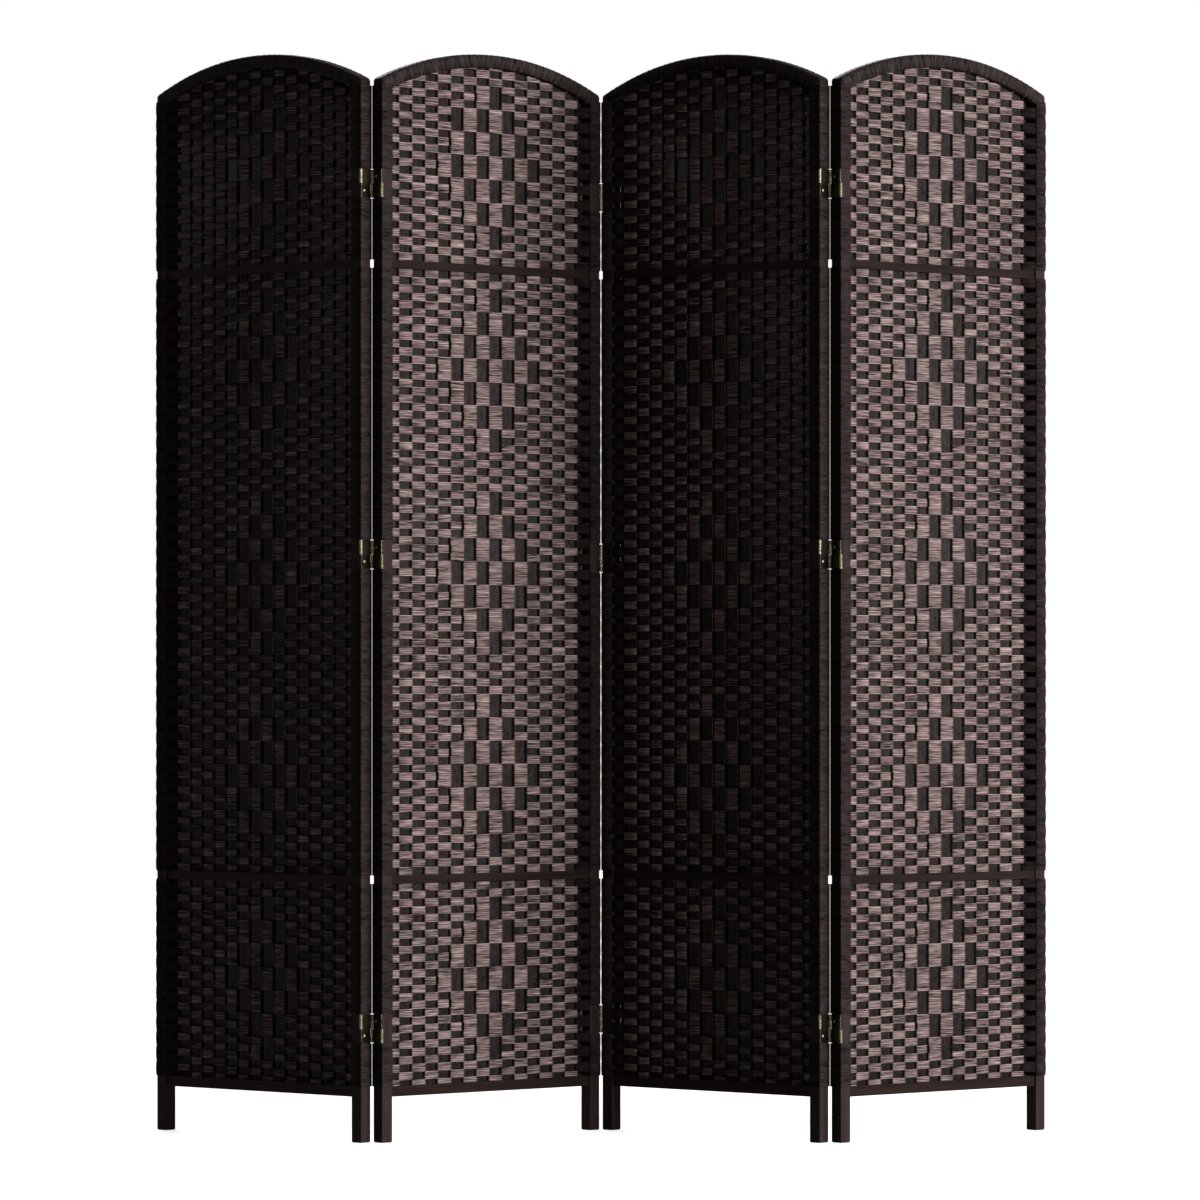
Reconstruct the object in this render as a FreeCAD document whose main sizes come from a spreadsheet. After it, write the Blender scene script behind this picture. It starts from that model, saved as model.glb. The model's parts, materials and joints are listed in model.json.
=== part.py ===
import FreeCAD, Part
import math
import os

# Four-panel folding room divider: arched frames filled with slats and woven cord, joined by screen hinges.
# Every panel is built once in its own frame: X along its width, Y through its depth with the front at -Y,
# Z up from the floor. Panels 1 and 3 are the same panel turned half round, so their backs face forward.

os.makedirs("parts", exist_ok=True)

doc = FreeCAD.newDocument("room_divider")
sheet = doc.addObject("Spreadsheet::Sheet", "sheet")

# Driving sizes in millimetres, counts and degrees: alias, value, what it measures
SIZES = [
    ("overall_height", 1800, "floor to the top of the arch, over its cord"),
    ("panel_width", 476, "one panel over its bare stiles"),
    ("stile_width", 21, "stile across the panel"),
    ("stile_depth", 22, "stile from front to back"),
    ("foot_chamfer", 1.5, "bevel round the foot of a stile"),
    ("arch_rise", 54, "top of the arch above its ends"),
    ("arch_thickness", 18, "arch rail between its two curves"),
    ("leg_clearance", 75, "floor to the bottom rail"),
    ("bottom_rail_height", 17, "bottom rail"),
    ("rail_height", 13.5, "upper and lower rail battens"),
    ("rail_setback", 3, "rail face behind the stile face"),
    ("lower_rail_level", 424.8, "floor to the lower rail"),
    ("upper_rail_drop", 349.5, "top of the arch to the upper rail"),
    ("slat_width", 20.8, "one slat"),
    ("first_slat_width", 16.4, "the slat beside the left stile"),
    ("slat_thickness", 2, "one slat"),
    ("slat_pitch", 27.9, "right edge of a slat to that of the next"),
    ("first_slat_gap", 0.3, "left stile to the first slat"),
    ("groove_depth", 6, "groove that holds the slat ends"),
    ("groove_play", 0.1, "groove side clear of the slat"),
    ("slat_end_play", 0.5, "slat end clear of its groove"),
    ("weft_thickness", 2.5, "woven cord in front of or behind a slat"),
    ("wrap_thickness", 1.6, "cord wound round stiles and arch"),
    ("wrap_end_setback", 1, "arch cord short of the panel's edge"),
    ("wrap_top_drop", 30, "stile cord starts this far below the arch's end"),
    ("hinge_height", 46.5, "one hinge"),
    ("low_hinge_rise", 72, "bottom rail to the lowest hinge"),
    ("middle_hinge_drop", 448, "upper rail down to the middle hinge"),
    ("top_hinge_drop", 146.4, "end of the arch down to the top hinge"),
    ("pin_offset", 2, "pin centre outside a stile's faces, both ways"),
    ("pin_radius", 1.2, "hinge pin"),
    ("pin_play", 0.2, "bore beyond the pin"),
    ("knuckle_radius", 2.4, "outside of a knuckle"),
    ("knuckle_play", 0.3, "between neighbouring knuckles"),
    ("leaf_thickness", 1, "hinge leaf"),
    ("leaf_margin", 0.5, "leaf edge inside the stile's face"),
    ("link_thickness", 1.2, "crossing link between two leaves"),
    ("screw_offset", 3.7, "screw off the middle of the stile's depth"),
    ("screw_head_radius", 2.2, "flat screw head"),
    ("screw_shank_radius", 1.2, "screw shank"),
    ("screw_length", 12, "screw shank in the wood"),
    ("screw_play", 0.2, "hole beyond the screw"),
    ("hinge_notch_margin", 1, "bare wood above and below a hinge"),
    ("zigzag_angle", 41.6, "each panel off the straight line, degrees"),
    ("barrel_sides", 8, "flats round a knuckle"),
    ("pin_sides", 6, "flats round a pin, bore or screw"),
]

ALIASES = [alias for alias, value, meaning in SIZES]
for row, (alias, value, meaning) in enumerate(SIZES, 1):
    sheet.set(f"A{row}", alias)
    sheet.set(f"B{row}", str(value))
    sheet.set(f"C{row}", meaning)
    sheet.setAlias(f"B{row}", alias)
doc.recompute()


def size(alias):
    """The number in the sheet under one alias."""
    return float(sheet.get(alias))


def bind(text):
    """A formula in plain aliases, with each alias tied to the sheet."""
    words = []
    word = ""
    for letter in text + " ":
        if letter.isalnum() or letter == "_":
            word += letter
            continue
        words.append(f"sheet.{word}" if word in ALIASES else word)
        words.append(letter)
        word = ""
    return "".join(words).strip()


# Places worked out from the driving sizes
HALF = "panel_width / 2"
INNER = "(panel_width - 2 * stile_width)"
INNER_HALF = f"({INNER} / 2)"
DEPTH_HALF = "stile_depth / 2"
ARCH_TOP = "(overall_height - wrap_thickness)"
ARCH_RADIUS = "((panel_width ^ 2 / 4 + arch_rise ^ 2) / (2 * arch_rise))"
ARCH_LEVEL = f"({ARCH_TOP} - {ARCH_RADIUS})"
UNDER_RADIUS = f"({ARCH_RADIUS} - arch_thickness)"
ARCH_END = f"({ARCH_TOP} - arch_rise)"
RAIL_HALF = "(stile_depth / 2 - rail_setback)"
GROOVE_HALF = "(slat_thickness / 2 + groove_play)"
BOTTOM_TOP = "(leg_clearance + bottom_rail_height)"
LOWER_RAIL = "lower_rail_level"
LOWER_TOP = f"({LOWER_RAIL} + rail_height)"
UPPER_TOP = "(overall_height - upper_rail_drop)"
UPPER_RAIL = f"({UPPER_TOP} - rail_height)"
WEAVE_HALF = "(slat_thickness / 2 + weft_thickness)"
PIN_REACH = "(stile_depth / 2 + pin_offset)"
HALF_HINGE = "(hinge_height / 2)"
KNUCKLE = f"(({HALF_HINGE} - 1.5 * knuckle_play) / 2)"
LINK_START = f"({HALF_HINGE} + knuckle_play / 2)"
LINK_REACH = f"({PIN_REACH} - knuckle_radius - knuckle_play)"
SCREW_LEVELS = [f"({HALF_HINGE} / 2)", f"(hinge_height - {HALF_HINGE} / 2)"]
HINGE_LEVELS = [
    f"({BOTTOM_TOP} + low_hinge_rise)",
    f"({UPPER_RAIL} - middle_hinge_drop - hinge_height)",
    f"({ARCH_END} - top_hinge_drop - hinge_height)",
]

ALONG_Y = FreeCAD.Rotation(FreeCAD.Vector(1, 0, 0), -90)
TOWARD_STILE = FreeCAD.Rotation(FreeCAD.Vector(0, 1, 0), -90)
HALF_ROUND = FreeCAD.Rotation(FreeCAD.Vector(0, 0, 1), 180)
UPSIDE_DOWN = FreeCAD.Rotation(FreeCAD.Vector(0, 1, 0), 180)
# Swaps a wedge's axes round, so that its X stands up and its Y runs across the panel
UPRIGHT_WEDGE = FreeCAD.Rotation(FreeCAD.Vector(1, 1, 1), -120)


def add(kind, name):
    return doc.addObject(kind, name)


def place(piece, x, y, z, rotation=None):
    """Turns a piece and ties its position to the sheet."""
    if rotation:
        piece.Placement = FreeCAD.Placement(FreeCAD.Vector(), rotation)
    for axis, formula in (("x", x), ("y", y), ("z", z)):
        if formula != "0":
            piece.setExpression(f"Placement.Base.{axis}", bind(formula))
    return piece


def box(name, x0, x1, y0, y1, z0, z1):
    """A block between two limits on each axis."""
    piece = add("Part::Box", name)
    piece.setExpression("Length", bind(f"({x1}) - ({x0})"))
    piece.setExpression("Width", bind(f"({y1}) - ({y0})"))
    piece.setExpression("Height", bind(f"({z1}) - ({z0})"))
    return place(piece, x0, y0, z0)


def drum(name, radius, half_depth):
    """A cylinder through the panel's depth, about the arch's centre."""
    piece = add("Part::Cylinder", name)
    piece.setExpression("Radius", bind(radius))
    piece.setExpression("Height", bind(f"2 * ({half_depth})"))
    return place(piece, "0", f"-({half_depth})", ARCH_LEVEL, ALONG_Y)


def prism(name, sides, radius, length, x, y, z, rotation=None):
    """A many-sided bar, for the small round ironwork."""
    piece = add("Part::Prism", name)
    piece.setExpression("Polygon", bind(sides))
    piece.setExpression("Circumradius", bind(radius))
    piece.setExpression("Height", bind(length))
    return place(piece, x, y, z, rotation)


def cut(name, base, tool):
    piece = add("Part::Cut", name)
    piece.Base = base
    piece.Tool = tool
    return piece


def common(name, base, tool):
    piece = add("Part::Common", name)
    piece.Base = base
    piece.Tool = tool
    return piece


def fuse(name, pieces):
    piece = add("Part::MultiFuse", name)
    piece.Shapes = pieces
    return piece


def group(name, pieces):
    piece = add("Part::Compound", name)
    piece.Links = pieces
    return piece


def turned(name, piece):
    """The same piece turned half round about the upright axis."""
    copy = group(name, [piece])
    copy.Placement = FreeCAD.Placement(FreeCAD.Vector(), HALF_ROUND)
    return copy


def at_hinges(name, piece):
    """One copy of a piece at each of the three hinge levels."""
    copies = []
    for level, formula in enumerate(HINGE_LEVELS, 1):
        copies.append(place(group(f"{name}_{level}", [piece]), "0", "0", formula))
    return group(name, copies)


def arch_rail():
    """The curved top rail, resting on both stiles."""
    outer = drum("arch_outer", ARCH_RADIUS, DEPTH_HALF)
    under = drum("arch_under", UNDER_RADIUS, DEPTH_HALF)
    low = f"{ARCH_END} - 2 * arch_thickness"
    span = box("arch_span", f"-{HALF}", HALF, f"-{DEPTH_HALF}", DEPTH_HALF, low, ARCH_TOP)
    return common("arch", cut("arch_ring", outer, under), span)


def above_curve(name, radius):
    """Everything above a curve about the arch's centre, to trim what stands under the arch."""
    block = box(
        f"{name}_block", f"-{HALF}", HALF, "-stile_depth", "stile_depth", f"{ARCH_END} - 2 * arch_thickness",
        "overall_height"
    )
    return cut(name, block, drum(f"{name}_drum", radius, "stile_depth"))


def foot_edges(shape):
    """The numbers of the edges round the foot of a block."""
    edges = []
    for number, edge in enumerate(shape.Edges, 1):
        if edge.BoundBox.ZMax < size("foot_chamfer"):
            edges.append(number)
    return edges


def stile(name, arch_trim, hinged):
    """The left stile from the floor to the arch's underside, its foot bevelled."""
    inner_edge = f"-{INNER_HALF}"
    bar = box(f"{name}_bar", f"-{HALF}", inner_edge, f"-{DEPTH_HALF}", DEPTH_HALF, "0", ARCH_TOP)
    doc.recompute()
    foot = add("Part::Chamfer", f"{name}_foot")
    foot.Base = bar
    foot.Edges = [(number, size("foot_chamfer"), size("foot_chamfer")) for number in foot_edges(bar.Shape)]
    trimmed = cut(f"{name}_trimmed", foot, arch_trim)
    if not hinged:
        return trimmed
    holes = []
    for level, start in enumerate(HINGE_LEVELS, 1):
        for row, height in enumerate(SCREW_LEVELS, 1):
            holes.append(prism(
                f"{name}_hole_{level}_{row}", "pin_sides", "screw_shank_radius + screw_play",
                "screw_length + screw_play", f"-{HALF} + screw_length + screw_play", "screw_offset",
                f"{start} + {height}", TOWARD_STILE
            ))
    return cut(f"{name}_drilled", trimmed, group(f"{name}_holes", holes))


def batten_pair(name, bottom, top):
    """Front and back battens with the slats held between them."""
    inner = (f"-{INNER_HALF}", INNER_HALF)
    front = box(f"{name}_front", *inner, f"-{RAIL_HALF}", "-slat_thickness / 2", bottom, top)
    back = box(f"{name}_back", *inner, "slat_thickness / 2", RAIL_HALF, bottom, top)
    return group(f"{name}_pair", [front, back])


def bottom_rail():
    """The rail above the feet, grooved along its top for the slats."""
    bar = box(
        "bottom_bar", f"-{INNER_HALF}", INNER_HALF, f"-{RAIL_HALF}", RAIL_HALF, "leg_clearance", BOTTOM_TOP
    )
    groove = box(
        "bottom_groove", f"-{INNER_HALF}", INNER_HALF, f"-{GROOVE_HALF}", GROOVE_HALF,
        f"{BOTTOM_TOP} - groove_depth", f"{BOTTOM_TOP} + groove_depth"
    )
    return cut("bottom_grooved", bar, groove)


def slat_top(across):
    """Where a slat ends under the arch, at one place across the panel."""
    return f"{ARCH_LEVEL} + sqrt(({UNDER_RADIUS} - slat_end_play) ^ 2 - ({across}) ^ 2)"


def slats():
    """As many upright slats as fit, from the bottom groove to the arch, cut to the slope of its underside."""
    inner = size("panel_width") - 2 * size("stile_width")
    room = inner - size("first_slat_gap") - size("first_slat_width")
    strips = []
    for number in range(int(room / size("slat_pitch")) + 1):
        right = f"-{INNER_HALF} + first_slat_gap + first_slat_width + {number} * slat_pitch"
        width = "slat_width" if number else "first_slat_width"
        left = f"{right} - {width}"
        strip = add("Part::Wedge", f"slat_{number + 1}")
        for end in ("Xmin", "X2min"):
            strip.setExpression(end, bind(f"{BOTTOM_TOP} - groove_depth + slat_end_play"))
        strip.setExpression("Xmax", bind(slat_top(left)))
        strip.setExpression("X2max", bind(slat_top(right)))
        strip.setExpression("Ymin", bind(left))
        strip.setExpression("Ymax", bind(right))
        for back, front in (("Zmax", "Zmin"), ("Z2max", "Z2min")):
            strip.setExpression(back, bind("slat_thickness / 2"))
            strip.setExpression(front, bind("-slat_thickness / 2"))
        strip.Placement = FreeCAD.Placement(FreeCAD.Vector(), UPRIGHT_WEDGE)
        strips.append(strip)
    return group("slat_set", strips)


def weave(arch_trim):
    """The woven field as two layers of cord, before and behind the slats, in three sections."""
    inner = (f"-{INNER_HALF}", INNER_HALF)
    layers = {
        "front": (f"-{WEAVE_HALF}", "-slat_thickness / 2"),
        "back": ("slat_thickness / 2", WEAVE_HALF),
    }
    sheets = []
    for side, depth in layers.items():
        sheets.append(box(f"weave_below_{side}", *inner, *depth, BOTTOM_TOP, LOWER_RAIL))
        sheets.append(box(f"weave_middle_{side}", *inner, *depth, LOWER_TOP, UPPER_RAIL))
        tall = box(f"weave_tall_{side}", *inner, *depth, UPPER_TOP, ARCH_TOP)
        sheets.append(cut(f"weave_above_{side}", tall, arch_trim))
    return group("weave_set", sheets)


def stile_wrap(name, hinged):
    """Cord wound round the left stile between rails and hinges, open on the side where the weave joins it."""
    ends = [BOTTOM_TOP, LOWER_RAIL, LOWER_TOP, UPPER_RAIL, UPPER_TOP, f"{ARCH_END} - wrap_top_drop"]
    if hinged:
        below = [f"{start} - hinge_notch_margin" for start in HINGE_LEVELS]
        above = [f"{start} + hinge_height + hinge_notch_margin" for start in HINGE_LEVELS]
        ends = [
            ends[0], below[0], above[0], ends[1], ends[2], below[1], above[1], ends[3], ends[4], below[2],
            above[2], ends[5]
        ]
    sleeves = []
    for run in range(len(ends) // 2):
        low, high = ends[2 * run], ends[2 * run + 1]
        outside = box(
            f"{name}_outside_{run + 1}", f"-{HALF} - wrap_thickness", f"-{INNER_HALF}",
            f"-{DEPTH_HALF} - wrap_thickness", f"{DEPTH_HALF} + wrap_thickness", low, high
        )
        core = box(
            f"{name}_core_{run + 1}", f"-{HALF}", f"-{INNER_HALF}", f"-{DEPTH_HALF}", DEPTH_HALF, low, high
        )
        sleeves.append(cut(f"{name}_run_{run + 1}", outside, core))
    return group(name, sleeves)


def arch_wrap():
    """Cord wound over the arch rail, open below where the weave joins it."""
    low = f"{ARCH_END} - 2 * arch_thickness"
    deep = f"{DEPTH_HALF} + wrap_thickness"
    end = f"{HALF} - wrap_end_setback"
    span = box("wrap_span", f"-({end})", end, f"-({deep})", deep, low, "overall_height")
    outside = common("wrap_outside", drum("wrap_drum", f"{ARCH_RADIUS} + wrap_thickness", deep), span)
    inside = drum("wrap_inside", UNDER_RADIUS, deep)
    core = drum("wrap_core", ARCH_RADIUS, DEPTH_HALF)
    return cut("arch_wrap", outside, fuse("wrap_cutters", [inside, core]))


def leaf():
    """The left panel's hinge leaf: knuckles at the front above and at the back below."""
    plate_x = ("-pin_offset", "-pin_offset + leaf_thickness")
    plate_y = (f"-{DEPTH_HALF} + leaf_margin", f"{DEPTH_HALF} - leaf_margin")
    upper = f"hinge_height - {KNUCKLE}"
    pieces = [
        box("leaf_plate", *plate_x, *plate_y, "0", "hinge_height"),
        box("leaf_front_web", *plate_x, f"-{PIN_REACH}", "0", upper, "hinge_height"),
        box("leaf_back_web", *plate_x, "0", PIN_REACH, "0", KNUCKLE),
        prism("leaf_front_barrel", "barrel_sides", "knuckle_radius", KNUCKLE, "0", f"-{PIN_REACH}", upper),
        prism("leaf_back_barrel", "barrel_sides", "knuckle_radius", KNUCKLE, "0", PIN_REACH, "0"),
    ]
    cutters = [
        prism("leaf_front_bore", "pin_sides", "pin_radius + pin_play", KNUCKLE, "0", f"-{PIN_REACH}", upper),
        prism("leaf_back_bore", "pin_sides", "pin_radius + pin_play", KNUCKLE, "0", PIN_REACH, "0"),
    ]
    for row, height in enumerate(SCREW_LEVELS, 1):
        cutters.append(prism(
            f"leaf_screw_hole_{row}", "pin_sides", "screw_head_radius + screw_play", "leaf_thickness",
            "-pin_offset + leaf_thickness", "-screw_offset", height, TOWARD_STILE
        ))
    return cut("leaf", fuse("leaf_blank", pieces), group("leaf_cutters", cutters))


def upper_link():
    """The link in the hinge's upper half, from the front pin to the back pin."""
    plate_x = ("-link_thickness / 2", "link_thickness / 2")
    pieces = [
        box("link_bridge", *plate_x, f"-{PIN_REACH}", PIN_REACH, LINK_START, f"{LINK_START} + {KNUCKLE}"),
        box("link_plate", *plate_x, f"-{LINK_REACH}", LINK_REACH, LINK_START, "hinge_height"),
    ]
    cutters = []
    for side, y in (("front", f"-{PIN_REACH}"), ("back", PIN_REACH)):
        pieces.append(prism(
            f"link_{side}_barrel", "barrel_sides", "knuckle_radius", KNUCKLE, "0", y, LINK_START
        ))
        cutters.append(prism(
            f"link_{side}_bore", "pin_sides", "pin_radius + pin_play", KNUCKLE, "0", y, LINK_START
        ))
    return cut("upper_link", fuse("link_blank", pieces), group("link_cutters", cutters))


def lower_link(link):
    """The same link upside down, in the hinge's lower half."""
    copy = group("lower_link", [link])
    return place(copy, "0", "0", "hinge_height", UPSIDE_DOWN)


def pins():
    """The left leaf's two pins: front above and back below."""
    length = f"hinge_height - {LINK_START}"
    front = prism("pin_front", "pin_sides", "pin_radius", length, "0", f"-{PIN_REACH}", LINK_START)
    back = prism("pin_back", "pin_sides", "pin_radius", length, "0", PIN_REACH, "0")
    return group("pin_pair", [front, back])


def screws():
    """The left leaf's two screws, heads level with the leaf."""
    pieces = []
    for row, height in enumerate(SCREW_LEVELS, 1):
        head = prism(
            f"screw_head_{row}", "pin_sides", "screw_head_radius", "leaf_thickness",
            "-pin_offset + leaf_thickness", "-screw_offset", height, TOWARD_STILE
        )
        shank = prism(
            f"screw_shank_{row}", "pin_sides", "screw_shank_radius", "screw_length", "-pin_offset",
            "-screw_offset", height, TOWARD_STILE
        )
        pieces.append(fuse(f"screw_{row}", [head, shank]))
    return group("screw_pair", pieces)


arch_trim = above_curve("arch_trim", UNDER_RADIUS)
hinged_stile = stile("hinged_stile", arch_trim, True)
free_stile = stile("free_stile", arch_trim, False)
hinged_wrap = stile_wrap("hinged_wrap", True)
free_wrap = stile_wrap("free_wrap", False)
link = upper_link()

LEFT_STILE = hinged_stile
RIGHT_STILES = {
    True: turned("hinged_stile_right", hinged_stile),
    False: turned("free_stile_right", free_stile),
}
RIGHT_WRAPS = {True: turned("hinged_wrap_right", hinged_wrap), False: turned("free_wrap_right", free_wrap)}
FRAME_PIECES = {
    "arch_rail": arch_rail(),
    "upper_rail": batten_pair("upper_rail", UPPER_RAIL, UPPER_TOP),
    "lower_rail": batten_pair("lower_rail", LOWER_RAIL, LOWER_TOP),
    "bottom_rail": bottom_rail(),
    "slats": slats(),
    "weave": weave(arch_trim),
}
ARCH_WRAP = arch_wrap()
LEFT_LEAVES = at_hinges("leaf_set", leaf())
LEFT_PINS = at_hinges("pin_set", pins())
LEFT_SCREWS = at_hinges("screw_set", screws())
HINGE_PIECES = {
    "left_leaves": LEFT_LEAVES,
    "right_leaves": turned("right_leaf_set", LEFT_LEAVES),
    "left_pins": LEFT_PINS,
    "right_pins": turned("right_pin_set", LEFT_PINS),
    "left_screws": LEFT_SCREWS,
    "right_screws": turned("right_screw_set", LEFT_SCREWS),
    "upper_links": at_hinges("upper_link_set", link),
    "lower_links": at_hinges("lower_link_set", lower_link(link)),
}


def spot(x, y, degrees):
    """A placement on the floor, turned about the upright axis."""
    upright = FreeCAD.Rotation(FreeCAD.Vector(0, 0, 1), degrees)
    return FreeCAD.Placement(FreeCAD.Vector(x, y, 0), upright)


def stand():
    """Where each panel and each joint's pin line stands, with the pin between panels 2 and 3 at the start."""
    angle = size("zigzag_angle")
    reach = size("panel_width") / 2 + size("pin_offset")
    back = size("stile_depth") / 2 + size("pin_offset")
    edge = spot(reach, 0, 0)
    panels = {}
    pivots = {"2_3": FreeCAD.Vector(0, 0, 0)}
    panels[2] = spot(0, 0, angle) * spot(reach, -back, 0).inverse()
    panels[3] = spot(0, 0, -angle) * spot(-reach, -back, 0).inverse()
    pivots["1_2"] = (panels[2] * spot(-reach, back, 0)).Base
    pivots["3_4"] = (panels[3] * spot(reach, back, 0)).Base
    near_left = pivots["1_2"]
    near_right = pivots["3_4"]
    panels[1] = spot(near_left.x, near_left.y, -angle) * spot(reach, back, 0).inverse()
    panels[4] = spot(near_right.x, near_right.y, angle) * spot(-reach, back, 0).inverse()
    joints = {}
    for left in (1, 2, 3):
        right = left + 1
        joints[f"{left}_{right}"] = {"left": panels[left] * edge, "right": panels[right] * edge.inverse()}
    return panels, joints, pivots


def make_nodes():
    """Every sub-part under its own name, placed as the divider stands."""
    panels, joints, pivots = stand()
    nodes = []

    def node(name, pieces, placement):
        piece = group(name, pieces)
        piece.Label = name
        piece.Placement = placement
        nodes.append(piece)

    for number, placement in panels.items():
        back_to_front = number in (1, 3)
        own = placement * spot(0, 0, 180) if back_to_front else placement
        joined = number in (2, 3)
        left, right = ("right", "left") if back_to_front else ("left", "right")
        node(f"panel_{number}_{left}_stile", [LEFT_STILE], own)
        node(f"panel_{number}_{right}_stile", [RIGHT_STILES[joined]], own)
        for name, piece in FRAME_PIECES.items():
            node(f"panel_{number}_{name}", [piece], own)
        node(f"panel_{number}_cord_wraps", [hinged_wrap, RIGHT_WRAPS[joined], ARCH_WRAP], own)
    for name, sides in joints.items():
        upper_side = "right" if name == "2_3" else "left"
        lower_side = "left" if name == "2_3" else "right"
        for piece_name, piece in HINGE_PIECES.items():
            side = piece_name.split("_")[0]
            side = {"upper": upper_side, "lower": lower_side}.get(side, side)
            node(f"hinge_{name}_{piece_name}", [piece], sides[side])
    return nodes, pivots


nodes, pivots = make_nodes()
doc.recompute()

# The origin is on the floor under the middle of the whole divider
whole = FreeCAD.BoundBox()
for piece in nodes:
    whole.add(piece.Shape.BoundBox)
middle = FreeCAD.Vector(whole.Center.x, whole.Center.y, 0)
for piece in nodes:
    piece.Placement = FreeCAD.Placement(piece.Placement.Base - middle, piece.Placement.Rotation)
doc.recompute()

for piece in doc.Objects:
    if "Invalid" in piece.State or "Error" in piece.State:
        raise RuntimeError(f"{piece.Label} failed to build: {piece.State}")
for piece in nodes:
    if piece.Shape.isNull() or not piece.Shape.isValid() or not piece.Shape.Solids:
        raise RuntimeError(f"{piece.Label} is not a sound solid")

for piece in nodes:
    piece.Shape.exportStep(os.path.join("parts", f"{piece.Label}.step"))

for name, pivot in pivots.items():
    place_mm = pivot - middle
    print(f"pin line {name}: {place_mm.x:.3f} {place_mm.y:.3f}")
print(f"nodes {len(nodes)}, whole {whole.XLength:.1f} x {whole.YLength:.1f} x {whole.ZMax:.1f}")
print(f"fold angle between panels {math.fmod(180 - 2 * size('zigzag_angle'), 360):.1f}")
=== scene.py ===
"""Dresses the folding room divider: woven cord, slats, wound frames, ironwork, looks, stage and camera."""
import json
import math

import bpy
import numpy as np
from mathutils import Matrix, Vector


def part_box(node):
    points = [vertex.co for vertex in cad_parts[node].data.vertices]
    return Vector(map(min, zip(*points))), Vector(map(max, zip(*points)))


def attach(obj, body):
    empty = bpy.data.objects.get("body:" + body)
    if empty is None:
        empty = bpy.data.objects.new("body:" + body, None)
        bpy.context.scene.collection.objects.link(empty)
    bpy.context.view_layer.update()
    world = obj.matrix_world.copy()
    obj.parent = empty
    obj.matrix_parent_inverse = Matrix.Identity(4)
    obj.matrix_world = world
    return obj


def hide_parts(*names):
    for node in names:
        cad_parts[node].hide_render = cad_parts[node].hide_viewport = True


bl_info = {
    "name": "Woven Room Divider",
    "version": (1, 0, 0),
    "blender": (4, 5, 0),
    "location": "View3D > Sidebar > Divider",
    "description": "Weaves the cord of a folding room divider round its packed frame and sets the stage",
    "category": "Add Mesh",
}

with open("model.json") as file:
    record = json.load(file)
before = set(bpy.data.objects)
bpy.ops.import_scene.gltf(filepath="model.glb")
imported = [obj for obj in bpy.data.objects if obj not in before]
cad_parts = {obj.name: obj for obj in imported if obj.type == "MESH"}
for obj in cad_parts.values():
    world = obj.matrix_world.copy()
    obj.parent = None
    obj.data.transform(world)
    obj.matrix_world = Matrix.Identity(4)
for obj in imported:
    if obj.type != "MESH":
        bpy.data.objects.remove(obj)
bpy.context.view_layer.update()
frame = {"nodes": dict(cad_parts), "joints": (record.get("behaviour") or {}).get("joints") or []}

PANELS = (1, 2, 3, 4)
TURNED_PANELS = (1, 3)
# Which stiles of a panel stand at a fold, left and right as its own front is seen
HINGED_STILES = {1: ("left",), 2: ("left", "right"), 3: ("left", "right"), 4: ("left",)}
PIN_LINES = {joint["name"]: joint["pos_m"] for joint in frame["joints"]}

# Levels from the floor up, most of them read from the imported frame
BOTTOM_RAIL_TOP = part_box("panel_2_bottom_rail")[1].z
LOWER_RAIL_LOW, LOWER_RAIL_TOP = (corner.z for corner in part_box("panel_2_lower_rail"))
UPPER_RAIL_LOW, UPPER_RAIL_TOP = (corner.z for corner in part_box("panel_2_upper_rail"))
ARCH_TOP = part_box("panel_2_arch_rail")[1].z
STILE_WRAP_TOP = 1.736
HINGE_LEVELS = (0.164, 0.9425, 1.5515)
BARE_ROUND_HINGE = 0.001

# Rows of the weave
CORDS_IN_ROW = 5
ROWS_BELOW = 26
ROWS_MIDDLE = 77
ROWS_ABOVE = 26
ROW_PITCH = (UPPER_RAIL_LOW - LOWER_RAIL_TOP) / ROWS_MIDDLE
# Rows are a little taller than their pitch, so that no light comes between them
ROW_OVERLAP = 1.1
REACH_OVERLAP = 1.4
WEAVE_PARTS = (
    ("lower", "lower", range(0, ROWS_BELOW)),
    ("middle_low", "middle", range(0, ROWS_MIDDLE // 2)),
    ("middle_high", "middle", range(ROWS_MIDDLE // 2, ROWS_MIDDLE)),
    ("upper", "upper", range(0, ROWS_ABOVE)),
)

# The middle row of each three-row band is turned over this many slats either side of the diamond's middle
DIAMOND_BANDS = (1, 2, 3, 4, 3, 2, 1)
BAND_ROWS = 3
DIAMOND_MIDDLE = 7.5
DIAMOND_PERIOD = 26
DIAMOND_STARTS = {"lower": (3,), "middle": (2, 2 + DIAMOND_PERIOD, 2 + 2 * DIAMOND_PERIOD), "upper": (2,)}

# A weaver's slip on the panels that face forward: this row stays behind one slat more
SLIP = ("upper", 18, 5)

# Slats: half their thickness, how deep they stand in the bottom rail, and the section from edge to edge
SLAT_HALF = 0.001
SLAT_FOOT = 0.0055
SLAT_SHARES = (0, 0.025, 0.1, 0.5, 0.9, 0.975, 1.0)
SLAT_BULGES = (0.75, 0.96, 1.0, 1.0, 1.0, 0.96, 0.75)

# How a row lies over slats and gaps: plays in metres, the rest in steps or as shares of its swing or a gap
EDGE_PLAY = 0.0005
STEP = 0.0003
SINK_STEPS = 4
CROWN = 1.08
SAG = 0.82
LEVEL_SHARE = 0.2
GROOVE_SHARE = 0.2

# Cord that reaches a stile: how far it lies over the weave's end, and how much shade is painted on the deep
# ones
REACH_LAP = 0.003
REACH_PAINTED_SHADE = 0.17

# Turns round a stile: (belly, furrow) on a free edge and on the left and right of a panel at a fold
FREE_TURN = (1.4, 0.3)
FOLD_TURNS = {-1: (0, 0.42), 1: (0.6, 0.3)}
TURN_BEND = 0.0006
TURN_PLAY = 0.0001
TURN_SHIFT = 0.37

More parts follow.
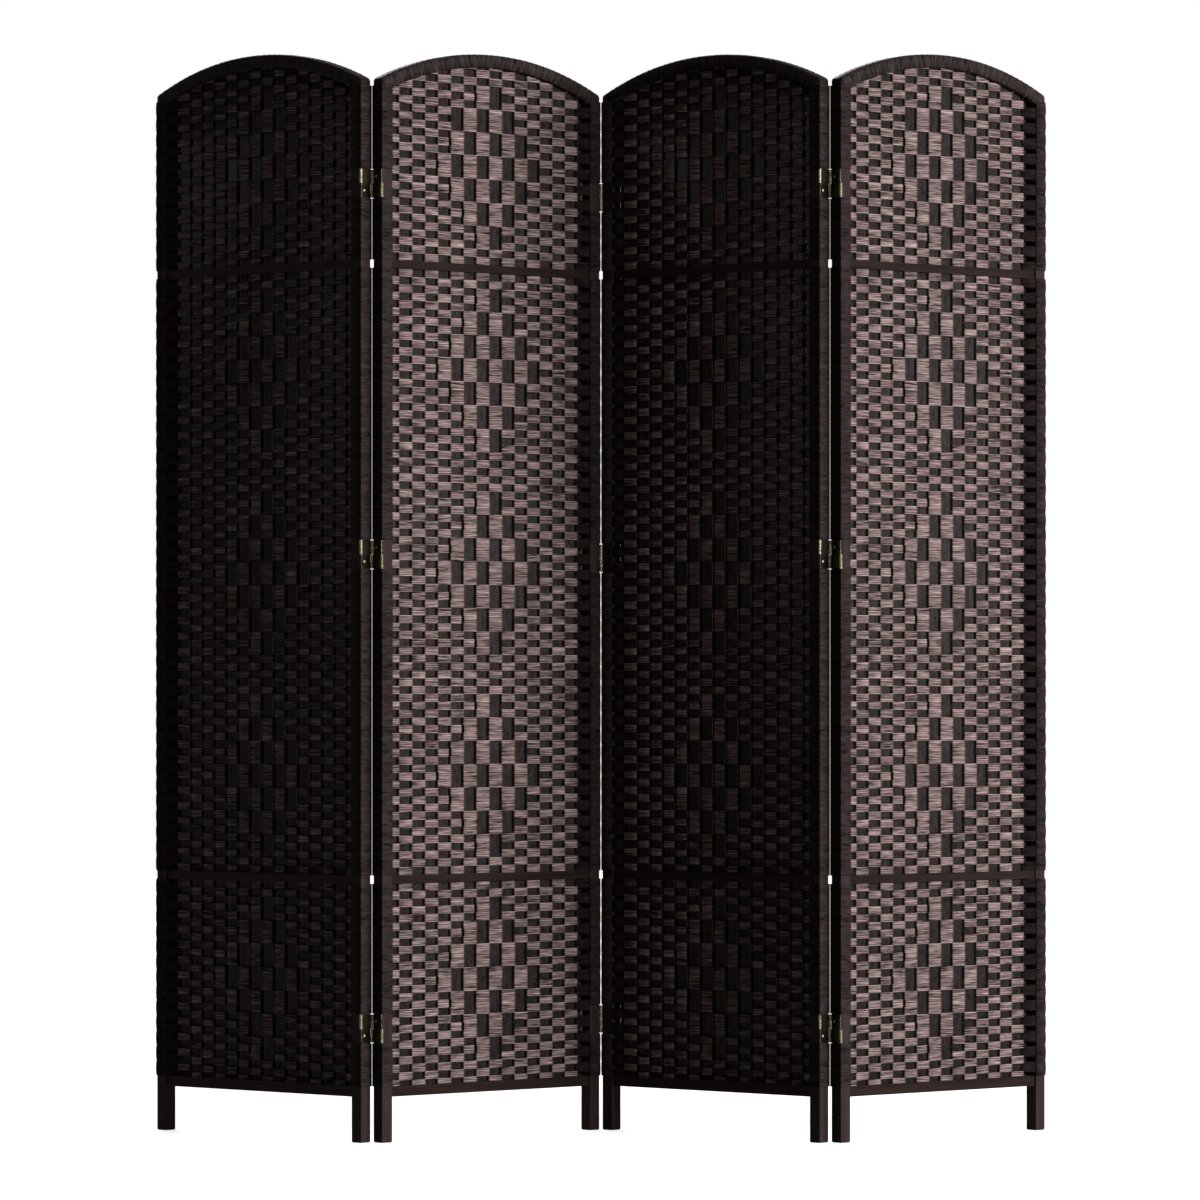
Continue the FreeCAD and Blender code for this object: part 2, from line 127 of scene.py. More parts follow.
# Winding of the arch: swell of a crest and of a dip in cords, slow waves as (size, rate, start), and insets
CREST_SWELL, DIP_SWELL = 0.9, 0.5
ARCH_WAVES = ((0.10, 640, 0), (0.08, 277, 1.3))
SHOULDER_SWELL = 0.6
ARCH_CHAMFER = 0.0012
ARCH_END_PLAY = 0.001

# Colours: the dark of the painted shade, tints, how much paler than brass a screw head is painted for a
# highlight, and where rubbing starts
# Near black that the cord colour is painted towards as shade, where rows dive beside slats and in grooves
PAINTED_SHADE_COLOUR = (0.004, 0.003, 0.003)
SLAT_TINT = (0.034, 0.0265, 0.0245)
CORD_TINT_SHARE = 0.82
SCREW_HIGHLIGHT_GAIN = 3
RUBBED_REACH = 0.0098

# Stage: lamps as (name, degrees round, width, watts), and the camera
KEY_LAMPS = (("wide lamp", -25, 5.9, 1350), ("narrow lamp", -41, 1.4, 1020))
LAMP_HEIGHT = 0.9
LAMP_RISE = math.radians(9)
LAMP_DISTANCE = 14
LAMP_AIM = (0, 0, 0.9)
BACK_STRENGTH = 2.2
BACK_SPREAD = math.radians(20)
BACK_WAY = (-0.25, 1, 0.6)
ROOM_LIGHT = 0.011
FLOOR_GLOW = 0.8
FLOOR_SIZE = 30
CAMERA_ASIDE = -0.0016
CAMERA_AWAY = 10.791
CAMERA_LEVEL = 0.7487
CAMERA_LENS = 191.6
CAMERA_SHIFT = 0.0722


class DividerSizes(bpy.types.PropertyGroup):
    """The sizes that the weaving follows."""

    panel_width: bpy.props.FloatProperty(
        name="Panel Width", description="Width of a panel over its stiles", default=0.476,
        subtype="DISTANCE", unit="LENGTH",
    )
    stile_width: bpy.props.FloatProperty(
        name="Stile Width", description="Width of a stile", default=0.021, subtype="DISTANCE", unit="LENGTH",
    )
    stile_depth: bpy.props.FloatProperty(
        name="Stile Depth", description="Depth of a stile", default=0.022, subtype="DISTANCE", unit="LENGTH",
    )
    fold_turn: bpy.props.FloatProperty(
        name="Fold Turn", description="Turn of each panel off the straight line",
        default=math.radians(41.6), subtype="ANGLE", unit="ROTATION",
    )
    slat_count: bpy.props.IntProperty(name="Slats", description="Slats in a panel", default=15, min=3)
    slat_pitch: bpy.props.FloatProperty(
        name="Slat Pitch", description="Distance from slat to slat", default=0.0279, subtype="DISTANCE",
        unit="LENGTH",
    )
    slat_width: bpy.props.FloatProperty(
        name="Slat Width", description="Width of a slat", default=0.0208, subtype="DISTANCE", unit="LENGTH",
    )
    first_slat_width: bpy.props.FloatProperty(
        name="First Slat Width", description="Width of the slat beside the left stile", default=0.0164,
        subtype="DISTANCE", unit="LENGTH",
    )
    first_gap: bpy.props.FloatProperty(
        name="First Gap", description="Left stile to the first slat", default=0.0003, subtype="DISTANCE",
        unit="LENGTH",
    )
    cord_depth: bpy.props.FloatProperty(
        name="Cord Thickness", description="Thickness of a woven cord", default=0.0024, subtype="DISTANCE",
        unit="LENGTH",
    )
    wrap_depth: bpy.props.FloatProperty(
        name="Wrap Thickness", description="Thickness of cord wound round the frame", default=0.0019,
        subtype="DISTANCE", unit="LENGTH",
    )
    arch_rise: bpy.props.FloatProperty(
        name="Arch Rise", description="Top of the arch above its ends", default=0.054, subtype="DISTANCE",
        unit="LENGTH",
    )
    arch_depth: bpy.props.FloatProperty(
        name="Arch Thickness", description="Arch rail between its curves", default=0.018, subtype="DISTANCE",
        unit="LENGTH",
    )
    hinge_height: bpy.props.FloatProperty(
        name="Hinge Height", description="Height of a hinge", default=0.0465, subtype="DISTANCE",
        unit="LENGTH",
    )


class DividerColours(bpy.types.PropertyGroup):
    """The colours of the cord, the wood and the ironwork."""

    cord: bpy.props.FloatVectorProperty(
        name="Cord", description="Pale woven cord", default=(0.30, 0.217, 0.204), subtype="COLOR", min=0,
        max=1,
    )
    wrap: bpy.props.FloatVectorProperty(
        name="Wrap", description="Dark cord round the frame", default=(0.0345, 0.0278, 0.0262),
        subtype="COLOR", min=0, max=1,
    )
    warm_wrap: bpy.props.FloatVectorProperty(
        name="Warm Wrap", description="Redder lengths of the dark cord", default=(0.0375, 0.0255, 0.0243),
        subtype="COLOR", min=0, max=1,
    )
    wood: bpy.props.FloatVectorProperty(
        name="Wood", description="Stained wood of the feet", default=(0.036, 0.0243, 0.023),
        subtype="COLOR", min=0, max=1,
    )
    rail: bpy.props.FloatVectorProperty(
        name="Rail", description="Darker stained wood of the rails", default=(0.0205, 0.0125, 0.011),
        subtype="COLOR", min=0, max=1,
    )
    slat: bpy.props.FloatVectorProperty(
        name="Slat", description="Dark upright slats", default=(0.0325, 0.0285, 0.027),
        subtype="COLOR", min=0, max=1,
    )
    brass: bpy.props.FloatVectorProperty(
        name="Aged Brass", description="Darkened hinge brass", default=(0.013, 0.0095, 0.006),
        subtype="COLOR", min=0, max=1,
    )
    bright_brass: bpy.props.FloatVectorProperty(
        name="Bright Brass", description="Polished pins and screws", default=(0.21, 0.19, 0.12),
        subtype="COLOR", min=0, max=1,
    )


def new_group(name, inputs, outputs):
    """A shader node group with its sockets: each input is (kind, name, default)."""
    group = bpy.data.node_groups.new(name, "ShaderNodeTree")
    for kind, label, value in inputs:
        socket = group.interface.new_socket(label, in_out="INPUT", socket_type=kind)
        socket.default_value = value
    for kind, label in outputs:
        group.interface.new_socket(label, in_out="OUTPUT", socket_type=kind)
    return group, group.nodes.new("NodeGroupInput"), group.nodes.new("NodeGroupOutput")


def noise_node(tree, scale, detail):
    """A noise texture of one scale and detail."""
    noise = tree.nodes.new("ShaderNodeTexNoise")
    noise.inputs["Scale"].default_value = scale
    noise.inputs["Detail"].default_value = detail
    return noise


def range_node(tree, low, high, to_low=0.0, to_high=1.0):
    """A clamped change from one range of values to another."""
    change = tree.nodes.new("ShaderNodeMapRange")
    change.inputs["From Min"].default_value = low
    change.inputs["From Max"].default_value = high
    change.inputs["To Min"].default_value = to_low
    change.inputs["To Max"].default_value = to_high
    return change


def math_node(tree, operation, first=None):
    """One operation on two values, the first of them fixed where it is given."""
    worked = tree.nodes.new("ShaderNodeMath")
    worked.operation = operation
    if first is not None:
        worked.inputs[0].default_value = first
    return worked


def wire(tree, *links):
    """Joins nodes of one tree: each link is (node, its output, node, its input)."""
    for source, output, target, given in links:
        tree.links.new(source.outputs[output], target.inputs[given])


def colour_mix(tree):
    """A blend of two colours."""
    blend = tree.nodes.new("ShaderNodeMix")
    blend.data_type = "RGBA"
    return blend


def grain_group():
    """Streaks along one axis: noise on stretched coordinates, mixed between a dark and a light tone.

    A slower noise mottles the streaks, and the slowest one changes between the colour and its tint.
    """
    group, given, out = new_group(
        "Streaked Grain",
        [
            ("NodeSocketVector", "Vector", (0, 0, 0)),
            ("NodeSocketColor", "Color", (0.05, 0.03, 0.03, 1)),
            ("NodeSocketFloat", "Contrast", 0.4),
            ("NodeSocketFloat", "Mottle", 0.3),
            ("NodeSocketColor", "Tint", (0.05, 0.03, 0.03, 1)),
        ],
        [("NodeSocketColor", "Color"), ("NodeSocketFloat", "Height")],
    )
    streak = noise_node(group, scale=1.0, detail=3.0)
    patch = noise_node(group, scale=0.21, detail=2.0)
    drift = noise_node(group, scale=0.13, detail=1.0)
    both = group.nodes.new("ShaderNodeMix")
    tone = range_node(group, low=0.36, high=0.64)
    low = math_node(group, "SUBTRACT", first=1.0)
    high = math_node(group, "ADD", first=1.0)
    scale = group.nodes.new("ShaderNodeVectorMath")
    scale.operation = "SCALE"
    edge = range_node(group, low=0.42, high=0.58)
    blend = colour_mix(group)
    wire(
        group,
        (given, "Vector", streak, "Vector"),
        (given, "Vector", patch, "Vector"),
        (given, "Vector", drift, "Vector"),
        (given, "Mottle", both, "Factor"),
        (streak, "Fac", both, "A"),
        (patch, "Fac", both, "B"),
        (both, "Result", tone, "Value"),
        (given, "Contrast", low, 1),
        (given, "Contrast", high, 1),
        (low, "Value", tone, "To Min"),
        (high, "Value", tone, "To Max"),
        (drift, "Fac", edge, "Value"),
        (edge, "Result", blend, "Factor"),
        (given, "Color", blend, "A"),
        (given, "Tint", blend, "B"),
        (blend, "Result", scale, 0),
        (tone, "Result", scale, "Scale"),
        (scale, "Vector", out, "Color"),
        (both, "Result", out, "Height"),
    )


def shadow_group():
    """Paints shade into a colour where a row dives into the gap beside a slat, and in the grooves between
    cords.

    Noise along the cords makes the painted shade deeper in some grooves than in others.
    """
    group, given, out = new_group(
        "Cord Shadows",
        [
            ("NodeSocketColor", "Color", (0.3, 0.2, 0.2, 1)),
            ("NodeSocketFloat", "Crease", 0.0),
            ("NodeSocketFloat", "Groove", 0.0),
            ("NodeSocketFloat", "Groove Strength", 0.5),
            ("NodeSocketVector", "Vector", (0, 0, 0)),
        ],
        [("NodeSocketColor", "Color")],
    )
    dive = range_node(group, low=0.03, high=0.24)
    thin = range_node(group, low=0.15, high=0.95)
    uneven = noise_node(group, scale=0.5, detail=1.0)
    # Spreads the painted groove shade unevenly along the cords
    painted_shade_and_highlight = range_node(group, low=0.4, high=0.6, to_low=0.25)
    depth = math_node(group, "MULTIPLY")
    line = math_node(group, "MULTIPLY")
    deeper = math_node(group, "MAXIMUM")
    blend = colour_mix(group)
    blend.inputs["B"].default_value = rgba(PAINTED_SHADE_COLOUR)
    wire(
        group,
        (given, "Crease", dive, "Value"),
        (given, "Groove", thin, "Value"),
        (given, "Vector", uneven, "Vector"),
        (uneven, "Fac", painted_shade_and_highlight, "Value"),
        (painted_shade_and_highlight, "Result", depth, 0),
        (given, "Groove Strength", depth, 1),
        (thin, "Result", line, 0),
        (depth, "Value", line, 1),
        (dive, "Result", deeper, 0),
        (line, "Value", deeper, 1),
        (deeper, "Value", blend, "Factor"),
        (given, "Color", blend, "A"),
        (blend, "Result", out, "Color"),
    )


def polish_group():
    """Rubs brass bright beyond a distance from a leaf's middle: one past that distance, with specks."""
    group, given, out = new_group(
        "Rubbed Edges",
        [
            ("NodeSocketVector", "Vector", (0, 0, 0)),
            ("NodeSocketVector", "Middle", (0, 0, 0)),
            ("NodeSocketFloat", "Reach", 0.01),
        ],
        [("NodeSocketFloat", "Mask")],
    )
    away = group.nodes.new("ShaderNodeVectorMath")
    away.operation = "SUBTRACT"
    plan = group.nodes.new("ShaderNodeVectorMath")
    plan.operation = "MULTIPLY"
    plan.inputs[1].default_value = (1, 1, 0)
    length = group.nodes.new("ShaderNodeVectorMath")
    length.operation = "LENGTH"
    past = math_node(group, "GREATER_THAN")
    specks = noise_node(group, scale=700.0, detail=2.0)
    sharp = range_node(group, low=0.42, high=0.55)
    both = math_node(group, "MULTIPLY")
    wire(
        group,
        (given, "Vector", away, 0),
        (given, "Middle", away, 1),
        (away, "Vector", plan, 0),
        (plan, "Vector", length, 0),
        (length, "Value", past, 0),
        (given, "Reach", past, 1),
        (given, "Vector", specks, "Vector"),
        (specks, "Fac", sharp, "Value"),
        (past, "Value", both, 0),
        (sharp, "Result", both, 1),
        (both, "Value", out, "Mask"),
    )


def new_material(name, roughness, metallic=0.0, specular=0.5):
    """A material with a Principled surface, and that surface's node."""
    material = bpy.data.materials.new(name)
    material.use_nodes = True
    surface = material.node_tree.nodes["Principled BSDF"]
    surface.inputs["Roughness"].default_value = roughness
    surface.inputs["Metallic"].default_value = metallic
    surface.inputs["Specular IOR Level"].default_value = specular
    return material, surface


def rgba(colour):
    """A colour with full alpha."""
    return (*colour, 1.0)


def place_group(tree, name, values):
    """Places a node group in a material with its own values."""
    placed = tree.nodes.new("ShaderNodeGroup")
    placed.node_tree = bpy.data.node_groups[name]
    for label, value in values.items():
        placed.inputs[label].default_value = value
    return placed


def grained(name, colour, source, stretch, turn=0.0, contrast=0.4, mottle=0.3, roughness=0.6, tint=None,
            specular=0.03):
    """A material with streaked grain on Object coordinates or on a piece's own UV map."""
    material, surface = new_material(name, roughness, specular=specular)
    tree = material.node_tree
    where = tree.nodes.new("ShaderNodeTexCoord")
    turned = tree.nodes.new("ShaderNodeMapping")
    turned.inputs["Rotation"].default_value = (0, 0, turn)
    stretched = tree.nodes.new("ShaderNodeVectorMath")
    stretched.operation = "MULTIPLY"
    stretched.inputs[1].default_value = stretch
    grain = place_group(tree, "Streaked Grain", {
        "Color": rgba(colour), "Contrast": contrast, "Mottle": mottle, "Tint": rgba(tint or colour),
    })
    relief = tree.nodes.new("ShaderNodeBump")
    relief.inputs["Distance"].default_value = 0.0004
    relief.inputs["Strength"].default_value = 0.5
    wire(
        tree,
        (where, source, turned, "Vector"),
        (turned, "Vector", stretched, 0),
        (stretched, "Vector", grain, "Vector"),
        (grain, "Height", relief, "Height"),
        (relief, "Normal", surface, "Normal"),
        (grain, "Color", surface, "Base Color"),
    )
    return material, surface, grain, stretched


def glint(surface, value, low, high, strength):
    """Makes a surface glossier where a value is high, and almost dull where it is low."""
    tree = surface.id_data
    gloss = range_node(tree, low, high, to_low=0.02, to_high=strength)
    tree.links.new(value, gloss.inputs["Value"])
    tree.links.new(gloss.outputs["Result"], surface.inputs["Specular IOR Level"])


def own_value(tree, label):
    """A node that reads one of a piece's own attributes."""
    own = tree.nodes.new("ShaderNodeAttribute")
    own.attribute_name = label
    return own


def corded(name, colour, stretch, groove, shine=0.0, roughness=0.8, specular=0.01, **finish):
    """Grained cord, with shade painted into its colour where the piece's own attributes mark dives and
    grooves.

    Where a shine is given, the palest streaks have it.
    """
    material, surface, grain, stretched = grained(
        name, colour, "UV", stretch, roughness=roughness, specular=specular, **finish
    )
    tree = material.node_tree
    if shine:
        glint(surface, grain.outputs["Height"], low=0.58, high=0.66, strength=shine)
    shadows = place_group(tree, "Cord Shadows", {"Groove Strength": groove})
    wire(
        tree,
        (grain, "Color", shadows, "Color"),
        (stretched, "Vector", shadows, "Vector"),
        (own_value(tree, "crease"), "Fac", shadows, "Crease"),
        (own_value(tree, "groove"), "Fac", shadows, "Groove"),
        (shadows, "Color", surface, "Base Color"),
    )


def rubbed_brass(name, colours, middle):
    """Dark brass, bright along the edges and knuckles that lie far from a leaf's middle."""
    material, surface = new_material(name, roughness=0.45, metallic=0.9)
    tree = material.node_tree
    where = tree.nodes.new("ShaderNodeTexCoord")
    rubbed = place_group(tree, "Rubbed Edges", {"Middle": middle, "Reach": RUBBED_REACH})
    blend = colour_mix(tree)
    blend.inputs["A"].default_value = rgba(colours.brass)
    blend.inputs["B"].default_value = rgba(colours.bright_brass)
    wire(
        tree,
        (where, "Object", rubbed, "Vector"),
        (rubbed, "Mask", blend, "Factor"),
        (blend, "Result", surface, "Base Color"),
    )
    return material


def panel_placement(number):
    """Centre of a panel on the floor, and its turn about the upright axis, front side outwards."""
    low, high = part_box(f"panel_{number}_weave")
    sizes = bpy.context.scene.divider_sizes
    turn = sizes.fold_turn * (-1 if number in TURNED_PANELS else 1)
    if number in TURNED_PANELS:
        turn += math.pi
    return (low.x + high.x) / 2, (low.y + high.y) / 2, turn


def stand(points, number):
    """Turns points from a panel's own frame to where that panel stands."""
    x, y, turn = panel_placement(number)
    c, s = math.cos(turn), math.sin(turn)
    moved = np.empty_like(points)
    moved[:, 0] = x + c * points[:, 0] - s * points[:, 1]
    moved[:, 1] = y + s * points[:, 0] + c * points[:, 1]
    moved[:, 2] = points[:, 2]
    return moved


def grid_faces(along, around):
    """Quads of a grid that is closed around, from one end of the path to the other."""
    i, j = np.meshgrid(np.arange(along - 1), np.arange(around), indexing="ij")
    k = (j + 1) % around
    corners = [i * around + j, (i + 1) * around + j, (i + 1) * around + k, i * around + k]
    return np.stack(corners, -1).reshape(-1, 4)


def ribbon(path, profile, sharp=False):
    """A closed section carried along a path in the panel's plan.

    Each section point is (rise, out): rise goes straight up and out goes square to the path in plan, to the
    right of someone who walks along it. A sharp path keeps square corners: out is then the sum of the two
    legs' square directions over one plus their product. Returns points, and each point's length and rise.
    """
    if sharp:
        legs = np.diff(path[:, :2], axis=0)
        legs /= np.linalg.norm(legs, axis=1, keepdims=True)
        before, after = np.vstack([legs[:1], legs]), np.vstack([legs, legs[-1:]])
        step = (before + after) / (1 + (before * after).sum(1, keepdims=True))
    else:
        step = np.gradient(path[:, :2], axis=0)
        step /= np.maximum(np.linalg.norm(step, axis=1, keepdims=True), 1e-9)
    out = np.stack([step[:, 1], -step[:, 0], np.zeros(len(path))], 1)
    points = path[:, None, :] + profile[None, :, 1, None] * out[:, None, :]
    points[:, :, 2] += profile[None, :, 0]
    length = np.concatenate([[0], np.cumsum(np.linalg.norm(np.diff(path, axis=0), axis=1))])
    where = np.stack(np.broadcast_arrays(length[:, None], profile[None, :, 0]), -1)
    return points.reshape(-1, 3), where.reshape(-1, 2)


class Surface:
    """Collects closed grids into one mesh, with its UV map, the values of its painted shade and gloss, and
    its grooves.
    """

    def __init__(self):
        self.points, self.quads, self.where, self.fans = [], [], [], []
        self.crease, self.groove = [], []
        self.count = 0

    def add(self, points, around, where, crease=None, groove=None, flipped=False):
        """Adds one tube of sections, with as many points around, and closes both its ends."""
        quads = grid_faces(len(points) // around, around)
        first = np.arange(around)
        final = first[::-1] + len(points) - around
        if flipped:
            quads, first, final = quads[:, ::-1], first[::-1], final[::-1]
        self.quads.append(quads + self.count)
        self.fans += [(first + self.count).tolist(), (final + self.count).tolist()]
        self.points.append(points)
        self.where.append(where)
        self.crease.append(np.zeros(len(points)) if crease is None else crease)
        self.groove.append(np.zeros(len(points)) if groove is None else groove)
        self.count += len(points)

    def piece(self, name, number, material):
        """Stands the collected surface on a panel as one object."""
        points = stand(np.concatenate(self.points), number)
        quads = np.concatenate(self.quads)
        loops = np.concatenate([quads.ravel(), np.array([v for fan in self.fans for v in fan], int)])
        sizes = np.concatenate([np.full(len(quads), 4), np.array([len(fan) for fan in self.fans], int)])
        starts = np.concatenate([[0], np.cumsum(sizes)[:-1]])
        mesh = bpy.data.meshes.new(name)
        mesh.vertices.add(len(points))
        mesh.vertices.foreach_set("co", points.astype(np.float32).ravel())
        mesh.loops.add(len(loops))
        mesh.loops.foreach_set("vertex_index", loops.astype(np.int32))
        mesh.polygons.add(len(sizes))
        mesh.polygons.foreach_set("loop_start", starts.astype(np.int32))
        mesh.polygons.foreach_set("use_smooth", sizes == 4)
        mesh.update(calc_edges=True)
        where = np.concatenate(self.where)
        layer = mesh.uv_layers.new(name="Length and Row")
        layer.data.foreach_set("uv", where[loops].astype(np.float32).ravel())
        for label, values in (("crease", self.crease), ("groove", self.groove)):
            depth = mesh.attributes.new(label, "FLOAT", "POINT")
            depth.data.foreach_set("value", np.concatenate(values).astype(np.float32))
        mesh.materials.append(bpy.data.materials[material])
        mesh.validate()
        obj = bpy.data.objects.new(name, mesh)
        bpy.context.scene.collection.objects.link(obj)
        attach(obj, f"panel_{number}")
        return obj


def cord_profile(height, depth, cords):
    """Section of a flat row of cords, round on both faces: (rise, out) up the front and down the back.

    Cords stand half the depth out, and the grooves between them a smaller share of it. Comes with each
    point's share of a groove: one between two cords, nothing on a cord's crown.
    """
    step = np.arange(2 * cords + 1)
    rise = (step / (2 * cords) - 0.5) * height
    out = np.where(step % 2 == 1, 0.5, GROOVE_SHARE) * depth
    out[[0, -1]] = 0
    front = np.stack([rise, out], 1)
    back = np.stack([rise[1:-1][::-1], -out[1:-1][::-1]], 1)
    groove = (step + 1) % 2
    return np.concatenate([front, back]), np.concatenate([groove, groove[1:-1][::-1]])


def bound_profile(height, depth, cords, belly, furrow):
    """Section of a turn bound tight round a bar: flat inside, and outside a belly of cords side by side.

    The belly falls off with the square of the distance from the middle of the turn, times its own strength.
    Cords stand half the depth out, and the furrows between them a smaller share of it.
    """
    step = np.arange(2 * cords + 1)
    share = step / (2 * cords) - 0.5
    rise = share * height
    out = (np.where(step % 2 == 1, 0.5, furrow) - belly * share ** 2) * depth
    front = np.stack([rise, out], 1)
    back = np.array([(rise[-1], -0.5 * depth), (rise[0], -0.5 * depth)])
    return np.concatenate([front, back]), np.append((step + 1) % 2, [0, 0])


def inner_half():
    """From the middle of a panel to the inner face of a stile."""
    sizes = bpy.context.scene.divider_sizes
    return sizes.panel_width / 2 - sizes.stile_width


def slat_edges():
    """Left and right edges of a panel's slats.

    Right edges lie one pitch apart, and left edges a slat's width before them. The first slat is narrower.
    """
    sizes = bpy.context.scene.divider_sizes
    first = sizes.first_gap + sizes.first_slat_width - inner_half()
    right = first + np.arange(sizes.slat_count) * sizes.slat_pitch
    left = right - sizes.slat_width
    left[0] = right[0] - sizes.first_slat_width
    return left, right


def weave_end():
    """Where the rows stop, one gap past the last slat."""
    sizes = bpy.context.scene.divider_sizes
    return slat_edges()[1][-1] + sizes.slat_pitch - sizes.slat_width - EDGE_PLAY


def in_front(section, row):
    """Which slats a row passes in front of, as one truth per slat.

    Over one and under one, a slat further on in every row, and turned in the diamonds.
    """
    slats = np.arange(bpy.context.scene.divider_sizes.slat_count)
    front = (slats + row) % 2 == (0 if section == "lower" else 1)
    for start in DIAMOND_STARTS[section]:
        for band, reach in enumerate(DIAMOND_BANDS):
            if row == start + BAND_ROWS * band + BAND_ROWS // 2:
                front ^= np.abs(slats - DIAMOND_MIDDLE) < reach
    return front


def row_level(section, row):
    """Middle height of a row."""
    bases = {
        "lower": LOWER_RAIL_LOW - ROWS_BELOW * ROW_PITCH, "middle": LOWER_RAIL_TOP, "upper": UPPER_RAIL_TOP,
    }
    return bases[section] + (row + 0.5) * ROW_PITCH


def keep_between_rails(points, section):
    """Flattens what would reach into the rails: each height is held between those of the rails beside it."""
    limits = {
        "lower": (BOTTOM_RAIL_TOP, LOWER_RAIL_LOW), "middle": (LOWER_RAIL_TOP, UPPER_RAIL_LOW),
        "upper": (UPPER_RAIL_TOP, ARCH_TOP),
    }
    np.clip(points[:, 2], *limits[section], out=points[:, 2])


def arch_radius():
    """Radius of the circle through both ends of the arch and its top."""
    sizes = bpy.context.scene.divider_sizes
    return (sizes.panel_width ** 2 / 4 + sizes.arch_rise ** 2) / (2 * sizes.arch_rise)


def half_span(level, radius_loss):
    """Half the width under a curve a little inside the arch, at one height."""
    radius = arch_radius()
    rise = level - (ARCH_TOP - radius)
    return math.sqrt(max((radius - radius_loss) ** 2 - rise ** 2, 0))


def row_plan(front):
    """Plan of a row, as places across and through the panel, four to a slat.

    It stays in front from a slat's left edge to a fifth of the gap past it, sinks a little towards the next
    slat and then dives steeply. From behind a slat it comes forward in a slant across the whole gap. Between
    two slats that it passes on the same side it sinks at once to half way through, and lies there as far as
    the next slat.
    """
    sizes = bpy.context.scene.divider_sizes
    swing = SLAT_HALF + sizes.cord_depth / 2
    side = np.where(front, -swing, swing)
    left, right = slat_edges()
    start = left - EDGE_PLAY
    start[0] = STEP - inner_half()
    end = np.append(start[1:], weave_end())
    stays = np.append(front[1:] == front[:-1], False)
    comes = np.append(front[1:] & ~front[:-1], False)
    middle = (left + right) / 2
    goes = front & ~stays
    past = (1 - LEVEL_SHARE) * right + LEVEL_SHARE * end
    third = np.where(stays, right + SINK_STEPS * STEP, np.where(comes, (middle + right) / 2, past))
    across = np.stack([
        start + STEP, np.where(stays, right - STEP, middle), third, np.where(comes, right + STEP, end - STEP)
    ], 1)
    sunk = np.where(stays, 0, side)
    through = np.stack([side, side * CROWN, sunk, np.where(goes, SAG * side, sunk)], 1)
    return across.ravel(), through.ravel(), swing


def weave_row(surface, number, section, row, profile, groove):
    """One row of cords, with shade painted into its colour where it lies behind its own crown and in its
    grooves.

    Where it meets the arch it is cut off inside the arch rail, a third of the rail's depth under its top.
    """
    sizes = bpy.context.scene.divider_sizes
    front = in_front(section, row)
    if (section, row) == SLIP[:2] and number not in TURNED_PANELS:
        front[SLIP[2]] = False
    across, through, swing = row_plan(front)
    level = row_level(section, row)
    if section == "upper":
        reach = half_span(level + ROW_PITCH / 2, sizes.arch_depth / 3)
        inside = np.flatnonzero(np.abs(across) < reach)
        if len(inside) < 2:
            return
        first, final = inside[[0, -1]]
        ends = (first > 0, final < len(across) - 1)
        across, through = across[inside], through[inside]
        if ends[0]:
            across, through = np.append(-reach, across), np.append(through[0], through)
        if ends[1]:
            across, through = np.append(across, reach), np.append(through, through[-1])
    path = np.stack([across, through, np.full(len(across), level)], 1)
    points, where = ribbon(path, profile)
    keep_between_rails(points, section)
    where[:, 1] += level
    # Painted shade: the further a point lies behind the row's crown, the darker its colour is painted
    outwards = np.where(profile[:, 1] < 0, -1, 1)
    sunk = swing + outwards[None, :] * through[:, None]
    crease = np.clip(sunk / swing, 0, 1)
    surface.add(points, len(profile), where, crease.ravel(), np.tile(groove, len(path)))


class DIVIDER_OT_weave(bpy.types.Operator):
    """Weaves the rows of pale cord through the slats of every panel"""

    bl_idname = "divider.weave"
    bl_label = "Weave Cord"

    def execute(self, context):
        depth = context.scene.divider_sizes.cord_depth
        profile, groove = cord_profile(ROW_PITCH * ROW_OVERLAP, depth, CORDS_IN_ROW)
        for number in PANELS:
            for label, section, rows in WEAVE_PARTS:
                surface = Surface()
                for row in rows:
                    weave_row(surface, number, section, row, profile, groove)
                name = f"panel_{number}_woven_cord_{label}"
                woven = surface.piece(name, number, "Pale Cord")
                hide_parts(f"panel_{number}_weave")
        return {"FINISHED"}


def slat_shape(left, right, low, tops):
    """An upright bar with softened corners, its top sloping from one edge to the other.

    The section follows a table of shares of the width, each with its share of the half thickness. The flat
    edges, where that share is least, are marked in the attribute that paints shade on cords; here it makes
    them glossier.
    """
    share, bulge = np.array(SLAT_SHARES), np.array(SLAT_BULGES)
    around = np.concatenate([share, share[::-1]])
    across = left + around * (right - left)
    through = np.concatenate([-bulge, bulge[::-1]]) * SLAT_HALF
    edge = np.tile((bulge == bulge.min()).astype(float), 4)
    top = tops[0] + around * (tops[1] - tops[0])
    levels = np.stack([np.full(len(around), low), top])
    points = np.stack(np.broadcast_arrays(across[None, :], through[None, :], levels), -1).reshape(-1, 3)
    return points, len(around), points[:, [2, 0]], edge


class DIVIDER_OT_slats(bpy.types.Operator):
    """Splits the dark upright slats, with softened edges"""

    bl_idname = "divider.slats"
    bl_label = "Split Slats"

    def execute(self, context):
        sizes = context.scene.divider_sizes
        radius = arch_radius()
        under = radius - sizes.arch_depth - EDGE_PLAY
        edges = np.stack(slat_edges(), 1)
        tops = ARCH_TOP - radius + np.sqrt(under ** 2 - edges ** 2)
        for number in PANELS:
            surface = Surface()
            for (left, right), top in zip(edges, tops):
                surface.add(*slat_shape(left, right, BOTTOM_RAIL_TOP - SLAT_FOOT, top), flipped=True)
            slats = surface.piece(f"panel_{number}_split_slats", number, "Dark Slat")
            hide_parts(f"panel_{number}_slats")
        return {"FINISHED"}


